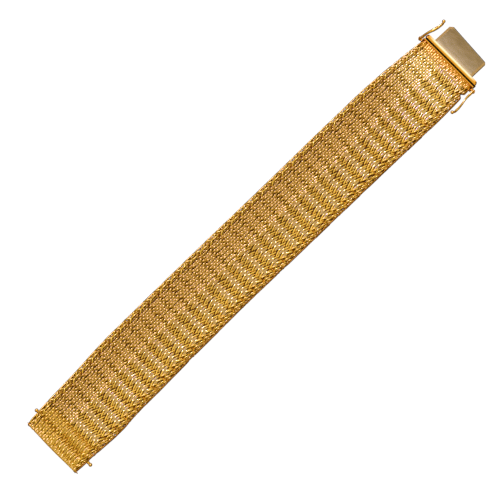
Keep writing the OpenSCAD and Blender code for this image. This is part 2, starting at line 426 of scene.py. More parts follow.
WOVEN = woven_gold(
    "woven_gold", rough=0.15, left_shade_strength=0.7, deep_painted_shade=(0.68, 0.36, 0.04, 1),
    pressed=(0.54, 0.375, 0.20, 1), darker=(0.94, 0.62, 0.14, 1), lighter=(1.00, 0.72, 0.19, 1),
)
WORN = woven_gold(
    "worn_gold", rough=0.30, left_shade_strength=0.2, deep_painted_shade=(0.50, 0.24, 0.02, 1),
    pressed=(0.54, 0.34, 0.06, 1), darker=(0.66, 0.39, 0.04, 1), lighter=(0.79, 0.51, 0.07, 1),
)
BRAID = woven_gold(
    "braid_gold", rough=0.26, left_shade_strength=0.05, deep_painted_shade=(0.32, 0.14, 0.01, 1),
    pressed=(0.60, 0.42, 0.18, 1), darker=(0.76, 0.50, 0.08, 1), lighter=(0.98, 0.68, 0.13, 1),
)

# %% [markdown]
# The metal ends are sheet gold. It is polished where it was filed and soldered, with fine
# scratches along its length, so a stretched noise moves the roughness a little. The outer
# slope of the thumb bar gets a pale painted highlight, and the groove beside it is painted
# nearly black as shade.

# %% Polished gold


def polished_gold():
    finish = Finish("polished_gold")
    scratches = finish.noise((0.5, 9.0, 9.0), 4.0)
    colour = finish.blend(finish.noise((0.4, 0.4, 0.4)), linear(226, 158, 56), linear(240, 180, 76))
    along, across = clasp_place(finish)
    # Painted highlight: a pale tone on the outer slope of the thumb bar.
    painted_highlight_on_bar = finish.ramp(along, BAR_X + 0.5, BAR_X + 0.6)
    painted_highlight_on_bar = painted_highlight_on_bar * finish.ramp(across * across, 10.6 ** 2, 7.5 ** 2)
    colour = finish.blend(painted_highlight_on_bar, colour, (0.93, 0.80, 0.46, 1))
    # Painted shade: the groove between cap and bar is nearly black.
    painted_shade_in_groove = finish.ramp(along, CAP_FACE - 0.04, CAP_FACE - 0.01)
    painted_shade_in_groove = painted_shade_in_groove - finish.ramp(along, BAR_X + 0.01, BAR_X + 0.04)
    colour = finish.blend(painted_shade_in_groove, colour, (0.07, 0.02, 0.003, 1))
    rough = 0.08 + 0.10 * scratches + 0.3 * painted_shade_in_groove
    normal = finish.bump(scratches, 0.01)
    return finish.set(Base_Color=colour, Metallic=1.0, Roughness=rough, Normal=normal)


POLISHED = polished_gold()

# %% [markdown]
# The tongue is a paler, springy alloy, rubbed dull by sliding in and out of its box. Its
# tone falls off from the thumb bar to the tip, and just past the bar it gets a painted
# highlight. Its rails along both sides and the clipped corner are browner, and inside the
# bar's slot it is painted dark as shade.

# %% Pale gold
LEAF_HALF, RAIL = 8.4, 0.65
CLIPPED_CORNER = 99.5


def pale_gold():
    finish = Finish("pale_gold")
    lines = finish.noise((0.9, 0.3, 0.9), 3.0)
    along, across = clasp_place(finish)
    near = finish.blend(lines, (0.30, 0.24, 0.16, 1), (0.57, 0.46, 0.33, 1))
    far = finish.blend(lines, (0.20, 0.14, 0.07, 1), (0.39, 0.29, 0.16, 1))
    colour = finish.blend(finish.ramp(along, BAR_END - 0.65, BAR_END + 6.35), near, far)
    # Painted highlight: a pale tone on the tongue just past the bar.
    painted_highlight_by_bar = finish.ramp(along, BAR_END + 1.35, BAR_END - 0.05)
    colour = finish.blend(painted_highlight_by_bar, colour, (0.72, 0.58, 0.42, 1))
    rail_from = LEAF_HALF - RAIL
    rim = finish.ramp(across * across, (rail_from - 0.2) ** 2, rail_from ** 2)
    clipped = finish.ramp(along + across, CLIPPED_CORNER, CLIPPED_CORNER + 0.2)
    rim = rim.math("MAXIMUM", rim, clipped)
    colour = finish.blend(0.85 * rim, colour, (0.47, 0.31, 0.13, 1))
    # Painted shade: the tongue is dark inside the bar's slot and under the cap.
    painted_shade_in_slot = finish.ramp(along, BAR_END - 0.25, BAR_END - 0.45)
    colour = finish.blend(painted_shade_in_slot, colour, (0.03, 0.015, 0.005, 1))
    normal = finish.bump(lines, 0.015)
    return finish.set(Base_Color=colour, Metallic=1.0, Roughness=0.22 + 0.06 * lines, Normal=normal)


PALE = pale_gold()

# %% [markdown]
# The safety latches and their pegs are bright drawn wire. The left latch is darker at its
# root, beside the cap.

# %% Wire gold


def wire_gold():
    finish = Finish("wire_gold")
    colour = finish.blend(finish.noise((0.8, 0.8, 0.8)), linear(232, 182, 78), linear(248, 206, 104))
    root = finish.ramp(finish.where(0), HINGE_X + 5.2, HINGE_X + 0.7)
    root = root * finish.ramp(finish.where(0), HINGE_X - 2.8, HINGE_X - 1.8)
    root = root * finish.ramp(finish.where(1), HINGE_Y - 4.15, HINGE_Y - 2.15)
    colour = finish.blend(0.7 * root, colour, linear(150, 100, 24))
    return finish.set(Base_Color=colour, Metallic=1.0, Roughness=0.16 + 0.12 * finish.noise((2, 2, 2)))


WIRE_GOLD = wire_gold()
print("finishes:", [finish.name for finish in (WOVEN, WORN, BRAID, POLISHED, PALE, WIRE_GOLD)])

# %% [markdown]
# The strap's outline comes from the CAD solid: one row for each cross rib gives the left
# and right edge, the top and the underside. Everything woven follows these curves, so
# the wire keeps the widths, the rise over the box and the slope down to the table. The
# top is averaged twice, because wire bends softly over the edges of box and cap, and one
# stitch pulled in beside the clasp leaves a small nick in the right edge.

# %% Read the strap's outline from the CAD solid
RIBS = 39
BOX_COLUMNS = 2
HIDDEN_IN_CAP = 0.37
LEFT, RIGHT, TOP, UNDER = 1, 2, 3, 4
points = np.array([v.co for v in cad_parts["mesh_band"].data.vertices]) / MM
strap_start, strap_end = points[:, 0].min(), points[:, 0].max()
PITCH = (strap_end + HIDDEN_IN_CAP - strap_start) / RIBS
weave_start, weave_end = strap_start - 0.4, CAP_FACE - 0.3


def rib_row(x0, x1):
    """Middle, left edge, right edge, top and underside of the solid between two places."""
    inside = points[(points[:, 0] > x0 - 0.01) & (points[:, 0] < x1 + 0.01)]
    return [
        inside[:, 0].mean(), inside[:, 1].max(), inside[:, 1].min(),
        inside[:, 2].max(), inside[:, 2].min(),
    ]


outline = [rib_row(strap_start, strap_start)]
for column in range(RIBS):
    crest = strap_start + (column + 0.5) * PITCH
    outline.append(rib_row(crest - 0.2 * PITCH, crest + 0.2 * PITCH))
outline.append(rib_row(strap_end - 0.6, strap_end))
outline = np.array(outline)
for _ in range(2):
    outline[1:-1, TOP] = (outline[:-2, TOP] + outline[1:-1, TOP] + outline[2:, TOP]) / 3


def edge(x, which):
    """Value of one column of the outline at places along the strap."""
    return np.interp(x, outline[:, 0], outline[:, which])


NICK_X, NICK_HALF, NICK_DEEP = 79.4, 0.65, 1.6
HALF_WIRE = 0.25


def clear_of_nick(x, y):
    """Keep wires inside the right edge, and push those in its nick further inwards."""
    nick = NICK_DEEP * np.clip(1.2 - np.abs(x - NICK_X) / NICK_HALF, 0, 1)
    return np.maximum(y, edge(x, RIGHT) + HALF_WIRE + nick)


print("strap from", round(strap_start, 2), "to", round(strap_end, 2), "rib pitch", round(PITCH, 3))

# %% [markdown]
# The weave is a flattened tube of coils. Each rib is one wire that winds from groove to
# groove and round the whole strap, and hooks into the coil of the next rib. A strand
# starts on top of its neighbour, crests, and dives under at the far groove. One strand of
# each of its two looks is drawn by a few points, and everything else repeats them.

# %% The strands of the weave
WIRE = 0.42
ROWS = 29
STRAND_PITCH = 0.815
# Depth of the middle of the strap below its top, and radius round which its sides bend
LAYER, BEND = 1.0, 0.5
# The look changes left of the strap's middle: place and softness of each change, as
# shares of the way from the front's middle to the back's middle
ARCH_TURNS, ARCH_SOFT = 0.05, 0.067
LEAN_TURNS, LEAN_SOFT = 0.19, 0.12
# The braid lies over the coils between these distances from the strap's middle
BRAID_FROM, BRAID_UNTIL = 9.1, 11.8
# Past these places, under the end plate and in the cap, the coils are pressed flat
FLAT_BEFORE, FLAT_AFTER = -91.8, 81.2
# How far a strand strays along the strap, across it and in height
STRAY = 0.09, 0.07, 0.03
# One strand, from the groove where it starts: fraction of the rib's width, height of its
# centre above the middle of the strap, width and thickness as shares of the wire, how far
# it leans along the strap's section as a share of the row pitch, how far it lags there.
# In the right part the strands arch to one crest, in the left part they ripple over three.
ARCHED = np.array([
    (-0.17, -0.50, 0.80, 1.0, 0.00, -0.25),
    (-0.14, 0.10, 0.90, 1.0, -0.17, 0.0),
    (-0.10, 0.45, 1.20, 1.0, -0.17, 0.0),
    (0.00, 0.54, 1.40, 1.0, -0.10, 0.0),
    (0.12, 0.62, 1.40, 1.0, 0.02, 0.0),
    (0.24, 0.70, 1.30, 1.0, 0.12, 0.0),
    (0.31, 0.76, 1.35, 1.0, 0.17, 0.0),
    (0.36, 0.78, 1.40, 1.0, 0.19, 0.0),
    (0.41, 0.755, 1.8, 0.8, 0.20, 0.0),
    (0.46, 0.71, 2.10, 0.6, 0.20, 0.0),
    (0.53, 0.645, 2.1, 0.5, 0.20, 0.0),
    (0.60, 0.58, 2.10, 0.5, 0.20, 0.0),
    (0.67, 0.515, 1.9, 0.6, 0.20, 0.0),
    (0.75, 0.44, 1.70, 0.7, 0.20, 0.0),
    (0.83, 0.36, 1.50, 0.8, 0.19, 0.0),
    (0.89, 0.24, 1.30, 0.9, 0.17, 0.0),
    (0.95, -0.30, 0.80, 1.0, 0.12, 0.0),
])
RIPPLED = np.array([
    (-0.17, -0.50, 0.80, 1.0, 0.00, -0.25),
    (-0.15, 0.20, 1.30, 1.0, -0.15, 0.0),
    (-0.08, 0.56, 1.60, 0.9, -0.10, 0.0),
    (0.00, 0.64, 1.60, 0.9, -0.07, 0.0),
    (0.06, 0.74, 1.60, 1.0, -0.03, 0.0),
    (0.12, 0.64, 1.80, 0.8, 0.02, 0.0),
    (0.22, 0.49, 2.10, 0.6, 0.06, 0.0),
    (0.25, 0.49, 2.10, 0.6, 0.07, 0.0),
    (0.32, 0.66, 1.80, 0.8, 0.09, 0.0),
    (0.385, 0.76, 1.7, 1.0, 0.10, 0.0),
    (0.45, 0.66, 1.80, 0.8, 0.09, 0.0),
    (0.52, 0.50, 2.10, 0.6, 0.08, 0.0),
    (0.55, 0.50, 2.10, 0.6, 0.07, 0.0),
    (0.62, 0.63, 1.80, 0.8, 0.04, 0.0),
    (0.675, 0.73, 1.6, 1.0, 0.02, 0.0),
    (0.87, 0.49, 1.80, 0.8, 0.00, 0.0),
    (0.94, -0.25, 0.80, 1.0, 0.00, 0.0),
])

# %% [markdown]
# The strands are drawn as if the weave were flat. This function wraps it round the strap:
# over the front, down the side, and back below, with a round bend at each corner.

# %% Wrap the weave round the strap


def onto_strap(x, along, height):
    """Wrap a flat weave round the strap: along is -1 to 1 round the whole section."""
    half = (edge(x, LEFT) - edge(x, RIGHT)) / 2 - LAYER
    centre = (edge(x, LEFT) + edge(x, RIGHT)) / 2
    high = edge(x, TOP) - LAYER
    low = np.minimum(edge(x, UNDER) + LAYER, high)
    corner = math.pi / 2 * BEND
    drop = high - low
    girth = half + corner + drop + corner + half
    u = np.abs(along) * girth
    side = np.sign(along)
    on_top = np.clip(u, 0, half)
    first = np.clip(u - half, 0, corner) / BEND
    down = np.clip(u - half - corner, 0, drop)
    second = np.clip(u - half - corner - drop, 0, corner) / BEND
    back = np.clip(u - half - 2 * corner - drop, 0, half)
    angle = first + second
    y = centre + side * (on_top - back + height * np.sin(angle))
    y = clear_of_nick(x, y)
    z = high - down + height * np.cos(angle)
    return np.stack([drifted(x, y), y, z], -1)


# %% [markdown]
# A coil repeats two strands a turn, forth and back, and every strand strays a little, as
# no weave is exact. The draws are seeded, so each run gives the same strap.

# %% The path of one coil
rng = np.random.default_rng(7)


def coil(column):
    """Points, upward directions and widths along one coil of two strands a turn."""
    count = len(ARCHED)
    turns = np.repeat(np.arange(ROWS), 2 * count)
    loose = np.repeat(rng.normal(0, 1, (3, 2 * ROWS)), count, axis=1)
    to_right = 1 - 2 * (turns + 0.5) / ROWS
    way = np.clip((LEAN_TURNS + to_right) / LEAN_SOFT, -0.8, 1)
    arched = np.clip((ARCH_TURNS + to_right) / ARCH_SOFT + 0.5, 0, 1)[:, None]
    # The second strand of a turn runs back to the first groove, half a turn further on
    turn_back = np.array([-1, 1, 1, 1, 1, 1]), np.array([0.97, 0, 0, 0, 0, 0.5])
    shapes = [np.concatenate([s, s * turn_back[0] + turn_back[1]]) for s in (RIPPLED, ARCHED)]
    rippled, arch = [np.tile(shape, (ROWS, 1)) for shape in shapes]
    u, height, width, thick, lean, lag = (rippled + arched * (arch - rippled)).T
    x = strap_start + (column + u) * PITCH + STRAY[0] * loose[0]
    along = 2 * (turns + lag + 0.25) / ROWS - 1
    along = along + (2 * way * lean + STRAY[1] * loose[1]) / ROWS
    from_middle = np.abs(along) * ROWS * STRAND_PITCH
    under_braid = np.clip((from_middle - BRAID_FROM) / 0.8, 0, 1)
    under_braid = under_braid - np.clip((from_middle - BRAID_UNTIL) / 0.6, 0, 1)
    height = height + STRAY[2] * loose[2] - 0.45 * under_braid
    width = width * (1 - 0.4 * under_braid)
    flat = np.clip((x - FLAT_AFTER) / 0.6, 0, 0.9) + np.clip((FLAT_BEFORE - x) / 0.6, 0, 0.9)
    height, width, thick = [
        value + flat * (end - value) for value, end in ((height, 0.66), (width, 1.9), (thick, 0.6))
    ]
    height = np.minimum(height, LAYER - 0.01 - WIRE / 2 * thick)
    x = np.clip(x, weave_start, weave_end)
    point = onto_strap(x, along, height)
    up = onto_strap(x, along, height + 0.1) - point
    return np.c_[point, up / np.linalg.norm(up, axis=1)[:, None], width, thick, height]


# %% [markdown]
# A curve with a round bevel would give a round wire, but this one is pressed wide and flat
# in places. So its section, which changes from point to point, is swept along the path.

# %% Sweep a wire along its path
# Corners of the section: four outside and two inside, where nobody looks
SECTION = np.radians([8, 55, 125, 172, 235, 305])


def sweep(path, closed, wire, angles):
    """Corners and faces of a wire along a path, wider than it is thick where it is pressed."""
    point, up = path[:, :3], path[:, 3:6]
    width, thick = path[:, 6:7] * wire / 2, path[:, 7:8] * wire / 2
    if closed:
        ahead = np.roll(point, -1, axis=0) - np.roll(point, 1, axis=0)
    else:
        ahead = np.gradient(point, axis=0)
    side = np.cross(ahead, up)
    side /= np.linalg.norm(side, axis=1)[:, None]
    up = np.cross(side, ahead)
    up /= np.linalg.norm(up, axis=1)[:, None]
    sides = len(angles)
    rings = [point + side * width * math.cos(a) + up * thick * math.sin(a) for a in angles]
    corners = np.stack(rings, 1).reshape(-1, 3)
    faces = []
    count = len(point)
    for i in range(count if closed else count - 1):
        here, there = i * sides, (i + 1) % count * sides
        for k in range(sides):
            n = (k + 1) % sides
            faces.append((here + k, here + n, there + n, there + k))
    if not closed:
        faces.append(tuple(range(sides))[::-1])
        faces.append(tuple((count - 1) * sides + k for k in range(sides)))
    return corners, faces


def wire_piece(paths, wire, angles=SECTION):
    """One mesh of wires along several (path, closed) pairs. Woven paths end with a column
    for the wire's depth, and their mesh gets the attributes that the finishes read."""
    corners, faces = [], []
    for path, closed in paths:
        new_corners, new_faces = sweep(path, closed, wire, angles)
        start = sum(len(earlier) for earlier in corners)
        corners.append(new_corners)
        faces += [tuple(start + k for k in face) for face in new_faces]
    corners = np.clip(np.concatenate(corners), cad_box[0] / MM, cad_box[1] / MM)
    obj = from_points(corners.tolist(), faces=faces)
    if paths[0][0].shape[1] > 8:
        for name, column in (("depth", 8), ("thick", 7)):
            values = np.concatenate([np.repeat(path[:, column], len(angles)) for path, _ in paths])
            attribute = obj.data.attributes.new(name, "FLOAT", "POINT")
            attribute.data.foreach_set("value", values)
    return face_outwards(obj)


# %% [markdown]
# All the wire in one mesh would be too heavy to handle, so the strap is woven in four
# lengths. A coil is a closed ring of wire, but over the box only its front half is kept,
# because the box lies where its back half would be.

# %% Weave the strap in four lengths
FRONT_SHARE, ABOVE_TABLE = 0.56, 0.35
lengths = {
    "weave_over_box": (-1, BOX_COLUMNS), "weave_1": (BOX_COLUMNS, 14),
    "weave_2": (14, 26), "weave_3": (26, RIBS + 1),
}
for name, (first, last) in lengths.items():
    over_box = last <= BOX_COLUMNS
    paths = []
    for path in [coil(column) for column in range(first, last)]:
        if over_box:
            around = np.abs(2 * np.arange(len(path)) / len(path) - 1)
            front = path[(path[:, 2] > ABOVE_TABLE) & (around < FRONT_SHARE)]
            paths.append((front, False))
        else:
            paths.append((path, True))
    finish_piece(
        wire_piece(paths, WIRE), name, WORN if over_box else WOVEN, "strap",
        ["mesh_band"] if over_box else (), smooth_angle=80,
    )

# %% [markdown]
# Along both edges the wires turn back, and their ends lie over each other as a coarse
# braid. One set of stitches for each edge is drawn once for a rib and repeated along the
# strap: every stitch rises from inside, lies on top for a short way and dives again.

# %% Braided edges
STITCH_WIRE = 0.5
# A stitch: place along the rib as a fraction, distance from the strap's edge, height of
# the wire's centre above the middle of the strap
LOW_STITCH = [
    (-0.15, 0.40, -0.5), (0.10, 0.27, -0.15), (0.50, 0.27, -0.1), (0.90, 0.27, -0.15),
    (1.15, 0.4, -0.5),
]
LEFT_STITCHES = [
    [(-0.06, 0.15, -0.2), (0.02, 0.28, 0.35), (0.22, 0.75, 0.68), (0.42, 1.25, 0.72), (0.58, 1.55, 0.2)],
    [(0.10, 2.45, -0.1), (0.18, 2.15, 0.50), (0.36, 1.60, 0.72), (0.50, 1.25, 0.55), (0.60, 1.1, 0.0)],
    [(0.38, 1.20, 0.1), (0.50, 1.38, 0.62), (0.74, 1.45, 0.76), (0.98, 1.42, 0.62), (1.12, 1.4, 0.1)],
    [(-0.10, 0.60, 0.0), (0.10, 0.28, 0.25), (0.50, 0.27, 0.35), (0.90, 0.28, 0.30), (1.10, 0.6, 0.0)],
    LOW_STITCH,
    [(0.60, 1.10, 0.0), (0.68, 0.92, 0.50), (0.84, 0.62, 0.60), (1.00, 0.35, 0.40), (1.06, 0.3, -0.1)],
]
RIGHT_STITCHES = [
    [(-0.08, 3.20, 0.1), (0.02, 2.95, 0.62), (0.20, 2.62, 0.76), (0.38, 2.25, 0.66), (0.48, 2.0, 0.1)],
    [(0.42, 3.15, 0.1), (0.52, 2.90, 0.60), (0.70, 2.55, 0.74), (0.88, 2.15, 0.64), (0.98, 1.9, 0.1)],
    [(0.05, 1.95, 0.0), (0.15, 1.75, 0.55), (0.34, 1.55, 0.66), (0.54, 1.25, 0.50), (0.62, 1.1, 0.0)],
    [(0.55, 1.85, 0.0), (0.64, 1.65, 0.55), (0.82, 1.45, 0.64), (1.02, 1.15, 0.50), (1.10, 1.0, 0.0)],
    [(0.20, 1.10, -0.1), (0.30, 0.85, 0.42), (0.46, 0.60, 0.45), (0.64, 0.35, 0.15), (0.70, 0.3, -0.3)],
    [(0.72, 1.05, -0.1), (0.82, 0.80, 0.42), (0.98, 0.55, 0.42), (1.14, 0.35, 0.15), (1.20, 0.3, -0.3)],
    [(-0.10, 0.60, 0.0), (0.10, 0.28, 0.25), (0.50, 0.27, 0.30), (0.90, 0.28, 0.25), (1.10, 0.6, 0.0)],
    LOW_STITCH,
]


def stitch_path(stitch, column, side):
    """Path of a stitch on a side, with more points on the last rib, beside the nick."""
    steps = np.linspace(0, len(stitch) - 1, 25 if column == RIBS - 1 else len(stitch))
    u, depth, height = [np.interp(steps, range(len(stitch)), v) for v in np.array(stitch).T]
    loose = rng.normal(0, 1, 3)
    x = strap_start + (column + u) * PITCH + 0.12 * loose[0]
    x = np.clip(x, weave_start + 0.1, weave_end - 0.1)
    depth = np.maximum(depth + 0.08 * loose[1], STITCH_WIRE / 2 + 0.02)
    which = LEFT if side > 0 else RIGHT
    y = clear_of_nick(x, edge(x, which) - side * depth)
    z = edge(x, TOP) - LAYER + height + 0.04 * loose[2]
    tilt = np.clip(1 - depth / 0.9, 0, 0.8)
    up = np.stack([0 * x, side * tilt, 1 - 0.4 * tilt], -1)
    up /= np.linalg.norm(up, axis=1)[:, None]
    # Painted shade: the right edge's outer stitches get a lower value, which the finish paints darker.
    shade = height - (side < 0) * np.clip(1.1 - depth, 0, 0.6)
    return np.c_[drifted(x, y), y, z, up, np.ones((len(x), 2)), shade]


stitches = []
for column in range(RIBS):
    stitches += [(stitch_path(stitch, column, 1), False) for stitch in LEFT_STITCHES]
    stitches += [(stitch_path(stitch, column, -1), False) for stitch in RIGHT_STITCHES]
finish_piece(
    wire_piece(stitches, STITCH_WIRE), "braided_edges", BRAID, "strap",
    smooth_angle=80,
)

# %% [markdown]
# Between the front and the back of a real coil mesh lie the wires' own inner turns, packed
# so close that no light passes. One thin dark sheet in the middle stands for them, and its
# dark brown is painted shade. It follows the strap's edges, so its corners are worked out
# from the outline.

# %% Inner turns
CORE_T = 0.1
CORE_END = 0.3


def painted_shade_wire():
    finish = Finish("painted_shade_wire")
    # Painted shade: a dark brown for the shaded inside of the weave.
    colour = finish.blend(finish.noise((1.2, 1.2, 1.2)), linear(96, 56, 12), linear(124, 76, 22))
    return finish.set(Base_Color=colour, Metallic=0.6, Roughness=0.6)


def core_sheet():
    x = np.linspace(strap_start + CORE_END, strap_end - CORE_END, 2 * RIBS)
    rings = []
    for u, height in ((-1, 1), (1, 1), (1, -1), (-1, -1)):
        half = (edge(x, LEFT) - edge(x, RIGHT)) / 2 - LAYER + 0.1
        y = (edge(x, LEFT) + edge(x, RIGHT)) / 2 + u * half
        z = edge(x, TOP) - LAYER + height * CORE_T / 2
        rings.append(np.stack([drifted(x, y), y, z], -1))
    corners = np.concatenate(rings)
    count = len(x)
    faces = []
    for side in range(4):
        a, b = side * count, ((side + 1) % 4) * count
        faces += [(a + i, a + i + 1, b + i + 1, b + i) for i in range(count - 1)]
    for i in (0, count - 1):
        cap = [side * count + i for side in range(4)]
        faces.append(cap[::-1] if i else cap)
    return face_outwards(from_points(corners.tolist(), faces=faces))


finish_piece(core_sheet(), "inner_turns_painted_shade", painted_shade_wire(), "strap")

# %% [markdown]
# The end plate closes the strap on the left. It is a filed bar with a mouth for the
# tongue: a block, the mouth cut through it, and every edge broken with a small bevel. Its
# long edges are divided, so that its outer face can be filed round towards both ends.

# %% End plate
EDGE = 0.12
PLATE_X = cad("catch_box")[0][0]
PLATE_HALF, PLATE_H, PLATE_T = 11.1, 2.9, 0.65
FILED_BACK = 0.4
BOX_X = PLATE_X + PLATE_T
BOX_HALF = 9.05
SHEET = 0.3
MOUTH_TOP = 2.0
plate = block(PLATE_X, BOX_X, -PLATE_HALF, PLATE_HALF, 0, PLATE_H)
cut(plate, block(PLATE_X - 1, BOX_X + 1, SHEET - BOX_HALF, BOX_HALF - SHEET, SHEET, MOUTH_TOP))
pick(plate, "EDGE", lambda edge: (
    abs(edge.verts[0].co.y - edge.verts[1].co.y) > 2 * (BOX_HALF - SHEET) - 0.1
))
bpy.ops.mesh.subdivide(number_cuts=11)
deselect()
for corner in plate.data.vertices:
    if corner.co.x < PLATE_X + 0.1:
        corner.co.x += FILED_BACK * (corner.co.y / PLATE_HALF) ** 2
bevel(plate, EDGE)
finish_piece(plate, "end_plate", POLISHED, "strap", ["catch_box"])

# %% [markdown]
# Behind the plate a box of folded sheet catches the tongue. It starts as a block whose
# front face is inset by the sheet's thickness and pushed in almost to the back wall.

# %% Box behind the end plate
BOX_TOP = 2.35
BOX_END = BOX_X + 9.0
shell = block(BOX_X - 0.1, BOX_END, -BOX_HALF, BOX_HALF, 0, BOX_TOP)
pick(shell, "FACE", lambda face: face.normal.x < -0.9)
bpy.ops.mesh.inset(thickness=SHEET, depth=0)
bpy.ops.mesh.extrude_region_move(
    TRANSFORM_OT_translate={"value": (BOX_END - BOX_X - SHEET, 0, 0)}
)
deselect()
bevel(shell, 0.08, 2)
finish_piece(shell, "box_shell", POLISHED, "strap")

# %% [markdown]
# Two pegs stand out of the box's sides through the strap, and the safety latches snap
# over them. A peg is a lathe part, so its profile is spun: shaft, thin neck, then ball.

# %% Pegs of the safety latches
PEG_X = BOX_X + 0.05 + PITCH
PEG_REACH, PEG_R, PEG_BALL = 12.05, 0.5, 0.62
MID_Z = 1.6
reach = PEG_REACH - BOX_HALF
peg_profile = [(0, -0.15), (PEG_R, -0.15), (PEG_R, reach - 0.72), (0.46, reach - 0.62)]
peg_profile += [(0.4, reach - 0.54)] + ball(PEG_BALL, reach, -50, 90)
pegs = join([
    turned(peg_profile, (PEG_X, side * BOX_HALF, MID_Z), (0, side, 0)) for side in (1, -1)
])
finish_piece(pegs, "latch_pegs", WIRE_GOLD, "strap")

# %% [markdown]
# On the right the strap is let into a solid cap. The cap is a block with an open pocket
# for the weave and a slot for the tongue, so only a narrow rim shows. It is made of cuts,
# because each cut stays one named box that is easy to move.

# %% End cap
CAP_X = 82.2
CAP_HALF = 11.3
CAP_H = cad("end_cap")[1][2]
LEAF_Z, LEAF_T = 0.45, 0.4
RIM_X = CAP_FACE - 0.4
SIDE_T, SIDE_H, FLOOR_Z = 0.15, 2.3, 0.6
SLACK = 0.05
cap = block(CAP_X, CAP_FACE, -CAP_HALF, CAP_HALF, 0, CAP_H)
cut(cap, block(CAP_X - 1, RIM_X, SIDE_T - CAP_HALF, CAP_HALF - SIDE_T, FLOOR_Z, CAP_H + 1))
cut(cap, block(CAP_X - 1, RIM_X, -CAP_HALF - 1, CAP_HALF + 1, SIDE_H, CAP_H + 1))
cut(cap, block(
    CAP_FACE - LEAF_T, CAP_FACE + 1, -LEAF_HALF - SLACK, LEAF_HALF + SLACK,
    LEAF_Z - SLACK, LEAF_Z + LEAF_T + SLACK,
))
bevel(cap, EDGE)

# %% [markdown]
# Two tubes beside the cap carry the hinge pins of the latches. A tube is a closed profile
# of wall and chamfers that is spun, and a short bevelled web solders it to the cap.

# %% Hinge tubes on the cap
TUBE = [
    (0.30, -0.55), (0.35, -0.60), (0.54, -0.60), (0.60, -0.54),
    (0.60, 0.54), (0.54, 0.60), (0.35, 0.60), (0.30, 0.55),
]
WEB_HALF, WEB_RISE = 0.3, 0.58
parts = [cap]
for side in (1, -1):
    parts.append(turned(TUBE, (HINGE_X, side * HINGE_Y, MID_Z), closed=True))
    y0, y1 = sorted((side * (CAP_HALF - 0.1), side * (HINGE_Y - 0.45)))
    web = block(
        HINGE_X - WEB_HALF, HINGE_X + WEB_HALF, y0, y1, MID_Z - WEB_RISE, MID_Z + WEB_RISE
    )
    parts.append(bevel(web, 0.06, 2))
finish_piece(
    at_clasp(join(parts)), "end_cap_and_tubes", POLISHED, "strap", ["end_cap"]
)

# %% [markdown]
# Between the cap and the thumb bar runs a deep groove. A thin foot of the cap closes it
# from below, and the foot is painted nearly black as the groove's shade.

# %% Foot of the cap, in the groove


def painted_groove_shade():
    finish = Finish("painted_groove_shade")
    # Painted shade: nearly black, for the shade in the groove.
    colour = finish.blend(finish.noise((0.9, 0.9, 0.9)), linear(30, 12, 2), linear(60, 30, 8))
    return finish.set(Base_Color=colour, Metallic=0.3, Roughness=0.7)


FOOT_H = 0.3
foot = block(CAP_FACE - 0.1, (BAR_X + BAR_END) / 2, -CAP_HALF, CAP_HALF, 0, FOOT_H)
bevel(foot, 0.06, 2)
finish_piece(at_clasp(foot), "cap_foot_painted_shade", painted_groove_shade(), "strap")

# %% [markdown]
# The thumb bar is pressed to free the tongue. It is a block whose ends are rounded and
# whose outer top edge is chamfered. The chamfer's lower rim is raised until it slopes
# gently, and the upper leaf of the tongue passes through a slot in the bar.

# %% Thumb bar
bar_low, bar_high = cad("thumb_bar")
BAR_HALF = 11.25
TIP_X = 93.0
FOLD_X, FOLD_Z, FOLD_R = TIP_X - 0.8, 1.25, 0.6
LEAF_RISE = 1.8
RISE = math.tan(math.radians(LEAF_RISE))
CHAMFER = 0.6
BAR_SLOPE = math.radians(28)
slot_z = FOLD_Z + FOLD_R - LEAF_T / 2 + (FOLD_X - BAR_X) * RISE - 2 * SLACK
bar = block(BAR_X, BAR_END, -BAR_HALF, BAR_HALF, bar_low[2], bar_high[2])
pick(bar, "EDGE", lambda edge: (
    abs(edge.verts[0].co.z - edge.verts[1].co.z) > 1 and middle(edge).x > BAR_END - 0.01
))
bpy.ops.mesh.bevel(offset=0.8, offset_type="OFFSET", segments=5, affect="EDGES")
deselect()
pick(bar, "EDGE", lambda edge: (
    min(v.co.z for v in edge.verts) > bar_high[2] - 0.01 and middle(edge).x > BAR_X + 0.01
))
bpy.ops.mesh.bevel(offset=CHAMFER, offset_type="OFFSET", segments=1, affect="EDGES")
deselect()
pick(bar, "EDGE", lambda edge: all(
    abs(v.co.z - bar_high[2] + CHAMFER) < 0.01 for v in edge.verts
))
bpy.ops.transform.translate(value=(0, 0, CHAMFER * (1 - math.tan(BAR_SLOPE))))
deselect()
cut(bar, block(
    BAR_X - 1, BAR_END + 1, -LEAF_HALF - SLACK, LEAF_HALF + SLACK,
    slot_z, slot_z + LEAF_T + 3 * SLACK,
))
bevel(bar, 0.05, 2, angle=20)
finish_piece(
    at_clasp(bar), "thumb_bar_rounded", POLISHED, "strap", ["thumb_bar"],
    smooth_angle=20,
)

# %% [markdown]
# The tongue is one strip of springy sheet, folded back over itself at the tip. Its side
# view is a line of edges that is extruded across the strap three times, so each long
# side keeps a narrow band. A Solidify modifier gives the line its thickness, the bands
# are raised a little into rails, the tip is pushed askew, and two bisects clip its corners.

